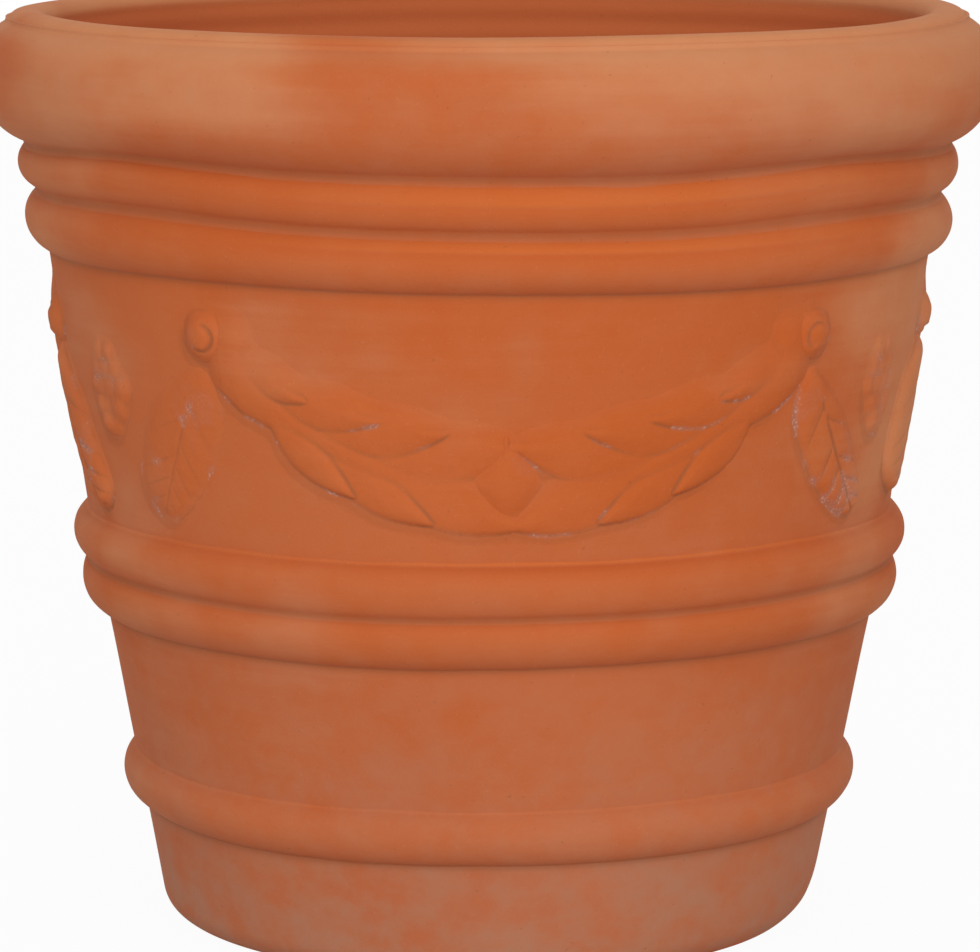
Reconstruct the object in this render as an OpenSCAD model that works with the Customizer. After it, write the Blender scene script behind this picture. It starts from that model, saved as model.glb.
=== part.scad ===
// Terracotta garland pot, put together as a potter builds it: a floor slab and four courses of
// wall with bevelled joints, a rolled rim and five bead coils that cover those joints, and
// press-moulded sprigs of leaves, rosettes and berries luted on the frieze.
// Millimetres, +Z up. The origin is the middle of the base, and the front garland faces -Y.

/* [Body] */
// Height from the ground to the top of the lip
pot_h = 454; // [446:1:480]
// Diameter of the wall where its slope meets the ground
base_d = 323; // [305:1:335]
// Diameter of the wall at the joint of foot and belly
foot_d = 351; // [342:1:365]
// Diameter of the wall at the joint of belly and frieze
waist_d = 394; // [380:1:405]
// Diameter of the wall at the joint of frieze and collar
collar_d = 445; // [430:1:455]
// Diameter of the wall at the lip
lip_d = 475; // [462:1:482]
// Thickness of the wall, measured level
wall_t = 15; // [11:0.5:20]
// Height of the joint of foot and belly
foot_z = 72; // [64:1:82]
// Height of the joint of belly and frieze
waist_z = 184; // [176:1:192]
// Height of the joint of frieze and collar
collar_z = 364; // [356:1:370]
// Rise of a bevelled joint from its outer edge to its inner edge
joint_bevel = 10; // [5:0.5:16]
// Radius of the rounded edge round the base
base_round = 16; // [8:1:18]

/* [Floor] */
// Thickness of the floor slab
floor_t = 22; // [16:1:30]
// Width of the bevelled edge that seats the floor slab in the foot
floor_bevel = 10; // [5:0.5:14]
// Diameter of the drain hole
drain_d = 40; // [25:1:60]

/* [Rim roll] */
// Diameter across the rim roll, the widest place of the pot
rim_d = 500; // [494:1:512]
// Height of the centre of the rim roll's lower curve
rim_z = 418; // [414:1:422]
// Radius of the rim roll's lower curve
rim_low_r = 29; // [26:0.5:31]
// Radius of the rim roll's shoulder curve
rim_top_r = 24; // [20:0.5:26]
// Height of the upright band between the two curves
rim_band = 7; // [3:0.5:10]

/* [Collar beads] */
// Height of the centre of the upper collar bead
collar_upper_z = 378; // [375:0.5:382]
// Radius of the upper collar bead
collar_upper_r = 13; // [11:0.5:14.5]
// How far the upper collar bead stands out from the wall
collar_upper_out = 7.5; // [5:0.5:10]
// Height of the centre of the lower collar bead
collar_lower_z = 351; // [349:0.5:354]
// Radius of the lower collar bead
collar_lower_r = 15.5; // [12.5:0.5:17]
// How far the lower collar bead stands out from the wall
collar_lower_out = 9; // [6:0.5:12]

/* [Waist beads] */
// Height of the centre of the upper waist bead
waist_upper_z = 196.5; // [193:0.5:200]
// Radius of the upper waist bead
waist_upper_r = 12.5; // [10:0.5:14]
// How far the upper waist bead stands out from the wall
waist_upper_out = 9; // [6:0.5:11]
// Height of the centre of the lower waist bead
waist_lower_z = 173.5; // [170:0.5:177]
// Radius of the lower waist bead
waist_lower_r = 17; // [14:0.5:19]
// How far the lower waist bead stands out from the wall
waist_lower_out = 9; // [6:0.5:12]

/* [Foot bead] */
// Height of the centre of the foot bead
foot_bead_z = 74; // [70:0.5:78]
// Radius of the foot bead
foot_bead_r = 15; // [12:0.5:18]
// How far the foot bead stands out from the wall
foot_bead_out = 8; // [5:0.5:11]

/* [Garland] */
// Angle of the front garland's middle, to the right of the front
bay_front_a = 3.6; // [2:0.2:5]
// Angle of the right garland's middle
bay_right_a = 126; // [124.5:0.5:127]
// Angle of the left garland's middle
bay_left_a = -120.4; // [-121.4:0.2:-119]
// Angle from a garland's middle to its rosettes
swag_half = 42; // [40:0.5:43.5]
// Height of the rosettes
swag_top_z = 310; // [305:0.5:315]
// Height of the garland's stem at the middle
swag_low_z = 240; // [237:0.5:246]
// Angle from a garland's middle to its outermost pair of leaves
leaf_first = 39; // [38:0.5:40]
// Angle from each pair of leaves to the next
leaf_step = 6.8; // [6.5:0.1:7.1]
// Length of the outermost leaves
leaf_l = 46; // [42:1:48]
// How much longer the innermost leaves are
leaf_l_gain = 16; // [12:1:18]
// Width of the outermost leaves
leaf_w = 19; // [16:0.5:22]
// How much wider each pair of leaves is than the last
leaf_w_gain = 2.2; // [1:0.1:3]
// Height of the leaves over the wall
leaf_h = 6.5; // [5.5:0.25:8]
// Turn of the outermost upper leaves, up from level
upper_turn = -20.5; // [-24:0.5:-17]
// How much more the innermost upper leaves turn up
upper_turn_gain = 27; // [22:1:32]
// Turn of the outermost lower leaves, up from level
lower_turn = -52; // [-55:0.5:-48]
// How much more each lower leaf turns up than the last
lower_turn_step = 9.9; // [9:0.1:11]
// Rise of the upper leaves' bases over the stem
upper_start = 3; // [1:0.5:5]
// Drop of the lower leaves' bases under the stem
lower_start = 6; // [3:0.5:7]
// Width of the stem
stem_w = 18; // [14:0.5:21]
// Height of the stem over the wall
stem_h = 6.5; // [5:0.25:8]

/* [Flower, rosettes, drop leaves and berries] */
// Length of the bud at the garland's middle
bud_l = 43; // [38:1:48]
// Width of the bud
bud_w = 28; // [24:0.5:30]
// Height of the bud over the wall
bud_h = 7.5; // [6:0.25:9]
// Diameter of a rosette
rosette_d = 25.5; // [22:0.5:27.5]
// Height of a rosette over the wall
rosette_h = 6.5; // [5.5:0.25:7.5]
// Length of a drop leaf
drop_l = 82; // [72:1:86]
// Width of a drop leaf
drop_w = 45; // [40:0.5:47]
// Height of a drop leaf over the wall
drop_h = 5.5; // [4:0.25:7]
// Lean of a drop leaf away from its garland
drop_lean = 24; // [18:1:28]
// Drop from a rosette's centre to the tip of its drop leaf
drop_start = 14; // [12:0.5:18]
// Diameter of one berry
berry_d = 10.5; // [9:0.5:12]
// Height of the middle of the berry clusters
cluster_z = 279; // [275:0.5:283]
// Angle of the cluster right of the front garland
cluster_right_a = 63; // [61:0.5:65]
// Angle of the cluster left of the front garland
cluster_left_a = -59.5; // [-61:0.5:-56]
// Angle of the cluster at the back
cluster_back_a = 182.8; // [182:0.2:183.6]

/* [Hidden] */
$fn = 200;
leaf_pairs = 4;
berry_rows = [2, 3, 4, 3, 2, 1];
berry_gap = 0.82 * berry_d;
sprig_root = 12;
rosette_a = swag_half - 0.9;
drop_a = swag_half + 0.6;

base_r = base_d / 2;
foot_r = foot_d / 2;
waist_r = waist_d / 2;
collar_r = collar_d / 2;
lip_r = lip_d / 2;
rim_r = rim_d / 2;
floor_r = base_r - wall_t;

// Slopes of the foot, of the frieze and of the collar, outward from upright
foot_slope = atan((foot_r - base_r) / foot_z);
frieze_slope = atan((collar_r - waist_r) / (collar_z - waist_z));
collar_slope = atan((lip_r - collar_r) / (pot_h - collar_z));

// The lip is a half round across the wall
lip_round = wall_t * cos(collar_slope) / 2;
lip_c = [wall_r(pot_h - lip_round) - wall_t / 2, pot_h - lip_round];
lip_side = lip_round * [cos(collar_slope), -sin(collar_slope)];

// The rounded base edge touches the ground and the foot's slope
base_c = [base_r - base_round * (1 - sin(foot_slope)) / cos(foot_slope), base_round];
base_side = base_round * [cos(foot_slope), -sin(foot_slope)];

clay = [0.76, 0.40, 0.23];
coil_clay = [0.78, 0.43, 0.26];
sprig_clay = [0.80, 0.45, 0.28];
inner_clay = [0.68, 0.35, 0.20];

BAYS = ["front", "right", "left"];
CLUSTERS = [["right", cluster_right_a], ["back", cluster_back_a], ["left", cluster_left_a]];
SIDES = [["left", -1], ["right", 1]];

// Outer radius of the wall at a height
function wall_r(z) = lookup(z, [[0, base_r], [foot_z, foot_r], [waist_z, waist_r],
                                [collar_z, collar_r], [pot_h, lip_r]]);

// Length along the wall of one degree, at a height
function degree_l(z) = wall_r(z) * PI / 180;

// Angle of a bay's middle
function bay_angle(i) = [bay_front_a, bay_right_a, bay_left_a][i];

// Places on the garland, as angle from its middle and height
function stem_z(a) = swag_low_z + (swag_top_z - swag_low_z) * pow(a / swag_half, 2);
function leaf_angle(i) = leaf_first - i * leaf_step;
function leaf_growth(i) = sin(30 * i);

// Sections of the courses, in radius and height

module wall_body() {
  polygon([[0, 0], [base_r, 0], [foot_r, foot_z], [waist_r, waist_z], [collar_r, collar_z],
           lip_c + lip_side, lip_c, [lip_c[0], pot_h], [0, pot_h]]);
  translate(lip_c) circle(lip_round);
}

module floor_section() {
  polygon([[drain_d / 2, 0], [floor_r - floor_bevel, 0], [floor_r, floor_t], [drain_d / 2, floor_t]]);
}

module foot_section() {
  polygon([[floor_r - floor_bevel, 0], [base_c[0], 0], base_c, base_c + base_side, [foot_r, foot_z],
           [foot_r - wall_t, foot_z + joint_bevel], [floor_r, floor_t]]);
  intersection() {
    translate(base_c) circle(base_round);
    translate([base_c[0], 0]) square(base_round);
  }
}

module belly_section() {
  polygon([[foot_r, foot_z], [waist_r, waist_z], [waist_r - wall_t, waist_z + joint_bevel],
           [foot_r - wall_t, foot_z + joint_bevel]]);
}

module frieze_section() {
  polygon([[waist_r, waist_z], [collar_r, collar_z], [collar_r - wall_t, collar_z + joint_bevel],
           [waist_r - wall_t, waist_z + joint_bevel]]);
}

module collar_section() {
  polygon([[collar_r, collar_z], lip_c + lip_side, lip_c - lip_side,
           [collar_r - wall_t, collar_z + joint_bevel]]);
  translate(lip_c) circle(lip_round);
}

module rim_outline() {
  translate([rim_r - rim_low_r, rim_z]) circle(rim_low_r);
  translate([rim_r - rim_top_r, rim_z + rim_band]) circle(rim_top_r);
  translate([rim_r - rim_top_r, rim_z]) square([rim_top_r, rim_band]);
}

module bead_outline(z, r, out) {
  translate([wall_r(z) + out - r, z]) circle(r);
}

module collar_lower_outline() { bead_outline(collar_lower_z, collar_lower_r, collar_lower_out); }
module waist_lower_outline() { bead_outline(waist_lower_z, waist_lower_r, waist_lower_out); }
module collar_upper_outline() { bead_outline(collar_upper_z, collar_upper_r, collar_upper_out); }
module waist_upper_outline() { bead_outline(waist_upper_z, waist_upper_r, waist_upper_out); }
module foot_bead_outline() { bead_outline(foot_bead_z, foot_bead_r, foot_bead_out); }

// Solids of revolution

module floor_slab() { color(inner_clay) rotate_extrude() floor_section(); }
module foot_course() { color(clay) rotate_extrude() foot_section(); }
module belly_course() { color(clay) rotate_extrude() belly_section(); }
module frieze_course() { color(clay) rotate_extrude() frieze_section(); }
module collar_course() { color(clay) rotate_extrude() collar_section(); }

module rim_roll() {
  color(coil_clay) rotate_extrude() difference() {
    rim_outline();
    wall_body();
  }
}

// A coil pressed on the wall, and against the coils that were laid before it
module coil() {
  color(coil_clay) rotate_extrude() difference() {
    children(0);
    wall_body();
    if ($children > 1) children([1:$children - 1]);
  }
}

module collar_bead_upper() {
  coil() {
    collar_upper_outline();
    collar_lower_outline();
    rim_outline();
  }
}
module collar_bead_lower() { coil() collar_lower_outline(); }
module waist_bead_upper() {
  coil() {
    waist_upper_outline();
    waist_lower_outline();
  }
}
module waist_bead_lower() { coil() waist_lower_outline(); }
module foot_bead() { coil() foot_bead_outline(); }

// Everything that a sprig is pressed against
module turned_body() {
  rotate_extrude() {
    wall_body();
    collar_lower_outline();
    waist_upper_outline();
  }
}

// Places children on the frieze: X runs to the right along the wall, Y up it and Z out of it
module on_wall(angle, z) {
  rotate([0, 0, angle]) translate([0, -wall_r(z), z]) rotate([90 + frieze_slope, 0, 0]) children();
}

// A leaf along X: pointed at both ends, with a keel along its middle. The two spheres meet on the
// keel, and at the wall they leave an outline l long and w wide.
module leaf(l, w, h) {
  away = (l * l / w - w) / 4;
  sunk = (l * l / 4 - h * h) / (2 * h);
  ball_r = sqrt(pow(away + w / 2, 2) + sunk * sunk);
  intersection() {
    translate([0, away, -sunk]) sphere(ball_r);
    translate([0, -away, -sunk]) sphere(ball_r);
    translate([-l / 2 - 4, -w, -sprig_root]) cube([l + 8, 2 * w, sprig_root + h + 1]);
  }
}

// A leaf that starts at a place on the wall and grows in a direction from level
module leaf_from(angle, z, turn, l, w, h) {
  mid_z = z + l / 2 * sin(turn) * cos(frieze_slope);
  mid_a = angle + l / 2 * cos(turn) / degree_l(mid_z);
  on_wall(mid_a, mid_z) rotate([0, 0, turn]) leaf(l, w, h);
}

// The stem and leaves from the rosette towards the garland's middle, on the left side of a bay
module branch_leaves() {
  stem_ends = [swag_half - 2, leaf_angle(0), leaf_angle(1), leaf_angle(2), leaf_angle(3), 7];
  for (i = [0:len(stem_ends) - 3]) {
    a = stem_ends[i];
    b = stem_ends[i + 2];
    run = (a - b) * degree_l(stem_z((a + b) / 2));
    fall = stem_z(a) - stem_z(b);
    leaf_from(-a, stem_z(a), -atan2(fall, run), norm([run, fall]), stem_w, stem_h);
  }
  for (i = [0:leaf_pairs - 1]) {
    a = leaf_angle(i);
    z = stem_z(a);
    l = leaf_l + leaf_l_gain * leaf_growth(i);
    w = leaf_w + leaf_w_gain * i;
    leaf_from(-a, z + upper_start, upper_turn + upper_turn_gain * leaf_growth(i), l, w, leaf_h);
    leaf_from(-a, z - lower_start, lower_turn + lower_turn_step * i, l, w, leaf_h);
  }
}

// A bud with two side petals, upright at the garland's middle
module bud_petals() {
  on_wall(0, swag_low_z + bud_l * 0.22) rotate([0, 0, 90]) leaf(bud_l, bud_w, bud_h);
  for (s = SIDES)
    on_wall(s[1] * bud_w * 0.26 / degree_l(swag_low_z), swag_low_z + bud_l * 0.14)
      rotate([0, 0, 90 - s[1] * 24]) leaf(bud_l * 0.7, bud_w * 0.55, bud_h * 0.7);
}

// A round boss with a ring round it
module rosette_boss() {
  ball_r = (pow(rosette_d / 2, 2) + rosette_h * rosette_h) / (2 * rosette_h);
  ring_r = rosette_d * 0.3;
  ring_z = sqrt(ball_r * ball_r - ring_r * ring_r) - ball_r + rosette_h;
  difference() {
    intersection() {
      translate([0, 0, rosette_h - ball_r]) sphere(ball_r);
      translate([0, 0, -sprig_root / 2]) cylinder(h = sprig_root / 2 + rosette_h + 1, r = rosette_d * 0.7);
    }
    translate([0, 0, ring_z]) rotate_extrude() translate([ring_r, 0]) circle(rosette_d * 0.065);
  }
}

// A broad hanging leaf with a blunt end and a raised midrib, on the left side of a bay
module drop_leaf_blade() {
  turn = -90 - drop_lean;
  stalk_a = -drop_a;
  stalk_z = swag_top_z - drop_start;
  full_l = drop_l * 1.22;
  blunt_r = drop_w * 0.6;
  rib_at = drop_l * 0.07;
  mid_z = stalk_z + full_l / 2 * sin(turn) * cos(frieze_slope);
  mid_a = stalk_a + full_l / 2 * cos(turn) / degree_l(mid_z);
  on_wall(mid_a, mid_z) rotate([0, 0, turn]) intersection() {
    leaf(full_l, drop_w, drop_h);
    translate([drop_l - full_l / 2 - blunt_r, 0, -sprig_root]) union() {
      cylinder(h = 2 * sprig_root, r = blunt_r);
      translate([-full_l, -drop_w, 0]) cube([full_l, 2 * drop_w, 2 * sprig_root]);
    }
  }
  leaf_from(stalk_a + rib_at * cos(turn) / degree_l(stalk_z), stalk_z + rib_at * sin(turn), turn,
            drop_l * 0.85, drop_w * 0.2, drop_h + 1);
}

// Berries in rows on a low mound, the rows narrowing to the bottom
module berries() {
  rows = len(berry_rows);
  row_h = berry_gap * 0.9;
  mound_l = rows * row_h + berry_d;
  mound_w = max(berry_rows) * berry_gap;
  on_wall(0, cluster_z) rotate([0, 0, 90]) leaf(mound_l, mound_w, berry_d * 0.4);
  for (i = [0:rows - 1]) {
    z = cluster_z + ((rows - 1) / 2 - i) * row_h;
    for (j = [0:berry_rows[i] - 1])
      on_wall((j - (berry_rows[i] - 1) / 2) * berry_gap / degree_l(z), z)
        translate([0, 0, berry_d * 0.12]) sphere(berry_d / 2);
  }
}

// Left sprigs are mirrored to make the right ones
module on_side(s) { mirror([s == 1 ? 1 : 0, 0, 0]) children(); }
module rosette_place() { on_wall(-rosette_a, swag_top_z) rosette_boss(); }

// Sprigs cut to seat on the wall and against one another

module garland_bud(i) {
  color(sprig_clay) difference() {
    rotate([0, 0, bay_angle(i)]) bud_petals();
    turned_body();
  }
}

module garland_branch(i, s) {
  color(sprig_clay) difference() {
    rotate([0, 0, bay_angle(i)]) on_side(s) difference() {
      branch_leaves();
      bud_petals();
      rosette_place();
    }
    turned_body();
  }
}

module rosette(i, s) {
  color(sprig_clay) difference() {
    rotate([0, 0, bay_angle(i)]) on_side(s) rosette_place();
    turned_body();
  }
}

module drop_leaf(i, s) {
  color(sprig_clay) difference() {
    rotate([0, 0, bay_angle(i)]) on_side(s) difference() {
      drop_leaf_blade();
      rosette_place();
    }
    turned_body();
  }
}

module berry_cluster(a) {
  color(sprig_clay) difference() {
    rotate([0, 0, a]) berries();
    for (i = [0:len(BAYS) - 1], s = SIDES) rotate([0, 0, bay_angle(i)]) on_side(s[1]) drop_leaf_blade();
    turned_body();
  }
}

floor_slab();
foot_course();
belly_course();
frieze_course();
collar_course();
rim_roll();
collar_bead_upper();
collar_bead_lower();
waist_bead_upper();
waist_bead_lower();
foot_bead();
for (i = [0:len(BAYS) - 1]) {
  garland_bud(i);
  for (s = SIDES) {
    garland_branch(i, s[1]);
    rosette(i, s[1]);
    drop_leaf(i, s[1]);
  }
}
for (c = CLUSTERS)
  berry_cluster(c[1]);
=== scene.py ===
"""Terracotta garland pot: every piece of clay, its finish, the light and the camera.

The wall, the rim and the bead coils are outlines spun round the pot's axis. The sprigs are thin
sheets of clay raised into relief on the frieze. One hand-made unevenness runs through them all, so
that they stay seated on one another. Metres, +Z up, with the front garland towards -Y.
"""
import math
from functools import partial

import bpy
import numpy as np
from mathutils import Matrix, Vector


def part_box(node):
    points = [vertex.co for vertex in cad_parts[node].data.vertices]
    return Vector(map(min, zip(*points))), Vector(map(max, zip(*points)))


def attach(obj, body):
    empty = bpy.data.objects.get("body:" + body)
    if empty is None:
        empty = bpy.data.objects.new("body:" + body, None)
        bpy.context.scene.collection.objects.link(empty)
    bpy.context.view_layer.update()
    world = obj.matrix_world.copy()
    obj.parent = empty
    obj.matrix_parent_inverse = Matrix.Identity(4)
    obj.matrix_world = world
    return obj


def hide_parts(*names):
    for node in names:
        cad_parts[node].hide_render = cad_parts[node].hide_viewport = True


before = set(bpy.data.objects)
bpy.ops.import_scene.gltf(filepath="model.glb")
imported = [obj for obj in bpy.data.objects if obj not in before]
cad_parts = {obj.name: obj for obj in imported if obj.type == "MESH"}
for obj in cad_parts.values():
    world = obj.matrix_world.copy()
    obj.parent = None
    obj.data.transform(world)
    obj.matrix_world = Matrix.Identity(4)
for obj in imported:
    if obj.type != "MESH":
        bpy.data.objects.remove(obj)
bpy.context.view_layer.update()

MM = 0.001
FULL_TURN = 2 * math.pi
ROUND_STEPS = 320
ARC_STEP = math.radians(5)
LINE_STEP = 2 * MM
WELD = 0.01 * MM
SMOOTH_ANGLE = math.radians(50)


def lowest(node):
    """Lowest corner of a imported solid."""
    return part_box(node)[0]


def highest(node):
    """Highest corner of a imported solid."""
    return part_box(node)[1]


# The wall, as heights and outer radii of its corners from the ground to the lip
POT_H = highest("collar_course")[2]
BASE_R = 161.5 * MM
FOOT_R = highest("foot_course")[0]
WAIST_R = highest("belly_course")[0]
COLLAR_R = highest("frieze_course")[0]
LIP_R = 237.5 * MM
FOOT_Z = lowest("belly_course")[2]
WAIST_Z = lowest("frieze_course")[2]
COLLAR_Z = lowest("collar_course")[2]
WALL_HEIGHTS = (0, FOOT_Z, WAIST_Z, COLLAR_Z, POT_H)
WALL_RADII = (BASE_R, FOOT_R, WAIST_R, COLLAR_R, LIP_R)
WALL_T = 15 * MM
JOINT_BEVEL = 10 * MM
LIP_RISE = 7 * MM
LIP_SQUARE = 0.75
LIP_Z = POT_H - LIP_RISE
LIP_SET_BACK = 0.5 * MM
LIP_SWELL = 5 * MM
LIP_SWELL_H = 45 * MM
BASE_ROUND = 16 * MM
FRIEZE_SLOPE = math.atan((COLLAR_R - WAIST_R) / (COLLAR_Z - WAIST_Z))

# The floor slab and its drain hole
FLOOR_T = highest("floor_slab")[2]
FLOOR_R = BASE_R - WALL_T
FLOOR_BEVEL = 10 * MM
DRAIN_R = 20 * MM
DRAIN_ROUND = 4 * MM

# The rim roll: a lower curve, an upright band and a shoulder curve
RIM_R = highest("rim_roll")[0]
RIM_Z = 418 * MM
RIM_LOW_R = 29 * MM
RIM_TOP_R = 24.5 * MM
RIM_BAND = 8.5 * MM
RIM_LOW = (RIM_R - RIM_LOW_R, RIM_Z)
RIM_TOP = (RIM_R - RIM_TOP_R, RIM_Z + RIM_BAND)

# The bead coils: height of the centre, radius, and how far each stands out of the wall
BEADS = {
    "collar_bead_upper": (378 * MM, 13 * MM, 7.5 * MM),
    "collar_bead_lower": (350.2 * MM, 15.8 * MM, 9 * MM),
    "waist_bead_upper": (196.5 * MM, 12.5 * MM, 9 * MM),
    "waist_bead_lower": (173.5 * MM, 17 * MM, 9 * MM),
    "foot_bead": (74 * MM, 15 * MM, 8 * MM),
}
COVE_R = 2.8 * MM
COIL_COVE_R = 4 * MM
COVE_SINK = 0.2 * MM
COIL_ROOT = 4 * MM
BEAD_LUMPS = 0.5 * MM
BEAD_LUMP_W = 30 * MM

# Fine lines that a tool scored round the front of three beads: height, and how deep
SCORES = {
    "collar_bead_upper": (377.5 * MM, 0.5 * MM),
    "collar_bead_lower": (356 * MM, 0.5 * MM),
    "waist_bead_upper": (207 * MM, 0.6 * MM),
}
SCORE_SPAN = 1.4 * MM
SCORE_MIDDLE = 0.2
SCORE_REACH = 0.6
# How far down the painted shade below a scored line reaches, in score spans
SCORE_SHADE_SPAN = 5

# How dusty the turned pieces are at their top and at their bottom
DUST = {
    "collar_course": (0, 0),
    "rim_roll": (0.10, 0.20),
    "collar_bead_upper": (0, 0.16),
    "collar_bead_lower": (0, 0.16),
    "frieze_course": (0, 0.14),
    "waist_bead_upper": (0.06, 0.18),
    "waist_bead_lower": (0, 0.18),
    "belly_course": (0.10, 0.36),
    "foot_bead": (0.28, 0.30),
    "foot_course": (0.44, 0.72),
}

# How much dirt with painted shade and how much slip lie in a crease, how far they reach, and where the slip's
# middle is
SHADE_AND_DIRT_MOST = 0.6
SHADE_AND_DIRT_REACH = 2.2 * MM
SLIP_MOST = 0.22
SLIP_REACH = 5 * MM
SLIP_OUT = 2 * MM
SLIP_UP = 3 * MM

# Rings that the fingers left inside the wall
FINGER_RING_H = 13 * MM
FINGER_RING_DEPTH = 0.35 * MM
SLOW_RING = 2.7

# Waves of the hand-made wall: height in mm, count round the pot, start, and winding with each metre up
OUTWARD_WAVES = ((0.55, 2, 0.7, 5), (0.35, 3, -1.1, -11), (0.22, 5, 2.0, 29), (0.14, 8, -0.4, -47),
                 (0.10, 13, 1.3, 71))
UPWARD_WAVES = ((0.5, 2, -0.9, 9), (0.3, 4, 2.3, -17), (0.2, 7, 0.6, 37))

# How far the rings rise or, below 0, hang, about which height and over which span, all in mm
COLLAR_LEFT_RISE = (3.0, 350, 30)
COLLAR_FRONT_RISE = (-3.5, 362, 28)
UNDER_RIM_RISE = (4.5, 381, 20)
WAIST_RISE = (-2.8, 186, 9)
LIP_FRONT_HANG = 1.3
LIP_LEFT_HANG = 1.2
LIP_HANG_FROM = 425
LIP_HANG_SPAN = 25
FRONT_REACH = 0.9
WAIST_REACH = 1.2

# How far the base is rubbed in at the pot's right, and up to about which height, in mm
BASE_RUBBED = 4.5
BASE_RUBBED_H = 14


def wall_radius(z):
    """Outer radius of the wall at a height."""
    return np.interp(z, WALL_HEIGHTS, WALL_RADII)


def wall_lean(z):
    """Outward lean of the wall from upright at a height."""
    near = 0.5 * MM
    return math.atan2(wall_radius(z + near) - wall_radius(z - near), 2 * near)


def inner_radius(z):
    """Inner radius of the wall, with its finger rings and the swelling under the lip."""
    turn = FULL_TURN * z / FINGER_RING_H
    ring = math.sin(turn) + 0.5 * math.sin(turn / SLOW_RING)
    swell = LIP_SWELL * max(0, 1 - (LIP_Z - z) / LIP_SWELL_H) ** 2
    return wall_radius(z) - WALL_T - swell + FINGER_RING_DEPTH * ring


def bell(z, middle, span):
    """A smooth hump of height 1 about a middle."""
    return np.exp(-((z - middle) / span) ** 2)


def rise(z, ring):
    """How far a ring rises at a height, in millimetres."""
    height, middle, span = ring
    return height * bell(z, middle, span)


def hang(angle, z):
    """How far the rings rise or, below 0, hang at an angle and a height, all in millimetres."""
    front = np.exp(-(angle / FRONT_REACH) ** 2)
    left = 0.5 - 0.5 * np.sin(angle)
    collar = left * rise(z, COLLAR_LEFT_RISE) + front * rise(z, COLLAR_FRONT_RISE)
    under_rim = np.sin(2 * angle) ** 4 * rise(z, UNDER_RIM_RISE)
    waist = np.exp(-(angle / WAIST_REACH) ** 4) * rise(z, WAIST_RISE)
    lip = np.clip((z - LIP_HANG_FROM) / LIP_HANG_SPAN, 0, 1)
    return collar + under_rim + waist - (LIP_FRONT_HANG * front + LIP_LEFT_HANG * left ** 2) * lip


def waves(table, angle, z):
    """All the waves of a table together, in millimetres."""
    return sum(tall * np.sin(count * angle + start + winding * z) for tall, count, start, winding in table)


def shift_of_hand(angle, z):
    """How far the hand-made pot departs from true, outward and upward, at an angle and a height."""
    rubbed = BASE_RUBBED * np.clip(np.sin(angle), 0, 1) ** 2 * bell(z / MM, 0, BASE_RUBBED_H)
    outward = waves(OUTWARD_WAVES, angle, z) - rubbed
    settled = np.clip(z / FOOT_Z, 0, 1)
    upward = waves(UPWARD_WAVES, angle, z) * settled + hang(angle, z / MM)
    return outward * MM, upward * MM


# Drawing and shaping

def deselect_all():
    bpy.ops.object.select_all(action="DESELECT")


def points_of(piece):
    """The piece's points as rows of X, Y and Z."""
    flat = np.empty(3 * len(piece.data.vertices))
    piece.data.vertices.foreach_get("co", flat)
    return flat.reshape(-1, 3)


def move_points(piece, points):
    piece.data.vertices.foreach_set("co", points.ravel())
    piece.data.update()


def settle(piece):
    """Moves a piece with the unevenness of the whole pot."""
    points = points_of(piece)
    angle = np.arctan2(points[:, 0], -points[:, 1])
    radius = np.hypot(points[:, 0], points[:, 1])
    outward, upward = shift_of_hand(angle, points[:, 2])
    grown = 1 + outward / np.maximum(radius, BASE_R)
    points[:, 0] *= grown
    points[:, 1] *= grown
    points[:, 2] += upward
    move_points(piece, points)


def carry(piece, name, values):
    """Stores a value on each point of the piece, for its finish."""
    piece.data.attributes.new(name, "FLOAT", "POINT").data.foreach_set("value", values)


def apply_modifier(piece, kind, **settings):
    """Adds a modifier to the piece and applies it."""
    modifier = piece.modifiers.new(kind.lower(), kind)
    for setting, value in settings.items():
        setattr(modifier, setting, value)
    deselect_all()
    piece.select_set(True)
    bpy.context.view_layer.objects.active = piece
    bpy.ops.object.modifier_apply(modifier=modifier.name)


def line(start, end):
    """Points from start up to, and without, end."""
    length = math.dist(start, end)
    steps = max(1, round(length / LINE_STEP))
    return [(start[0] + (end[0] - start[0]) * i / steps, start[1] + (end[1] - start[1]) * i / steps)
            for i in range(steps)]


def arc(centre, radius, start, end):
    """Points of an arc with both its ends, angles from level outward."""
    steps = max(2, math.ceil(abs(end - start) / ARC_STEP))
    angles = [start + (end - start) * i / steps for i in range(steps + 1)]
    return [(centre[0] + radius * math.cos(a), centre[1] + radius * math.sin(a)) for a in angles]


def direction(start, end):
    """Angle of the way from start to end, from level outward, between 0 and a full turn."""
    return math.atan2(end[1] - start[1], end[0] - start[0]) % FULL_TURN


def inner_line(z_top, z_low):
    """Points down the inner face of the wall, from one height to another."""
    steps = max(1, round((z_top - z_low) / (FINGER_RING_H / 8)))
    heights = [z_top + (z_low - z_top) * i / steps for i in range(steps + 1)]
    return [(inner_radius(z), z) for z in heights]


def spun(name, outline):
    """Bends a ring of points into a closed outline of radius and height, and spins it round the axis.

    Its faces are turned outward, which is checked at its widest point.
    """
    deselect_all()
    bpy.ops.mesh.primitive_circle_add(vertices=len(outline), radius=WALL_T)
    piece = bpy.context.object
    piece.name = name
    move_points(piece, np.array([(radius, 0, z) for radius, z in outline]))
    apply_modifier(piece, "SCREW", axis="Z", angle=FULL_TURN, steps=ROUND_STEPS, render_steps=ROUND_STEPS)
    bpy.ops.object.mode_set(mode="EDIT")
    bpy.ops.mesh.select_all(action="SELECT")
    bpy.ops.mesh.remove_doubles(threshold=WELD)
    bpy.ops.mesh.normals_make_consistent(inside=False)
    bpy.ops.object.mode_set(mode="OBJECT")
    widest = max(piece.data.vertices, key=lambda point: point.co.xy.length)
    if widest.normal.xy.dot(widest.co.xy) < 0:
        bpy.ops.object.mode_set(mode="EDIT")
        bpy.ops.mesh.flip_normals()
        bpy.ops.object.mode_set(mode="OBJECT")
    return piece


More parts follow.
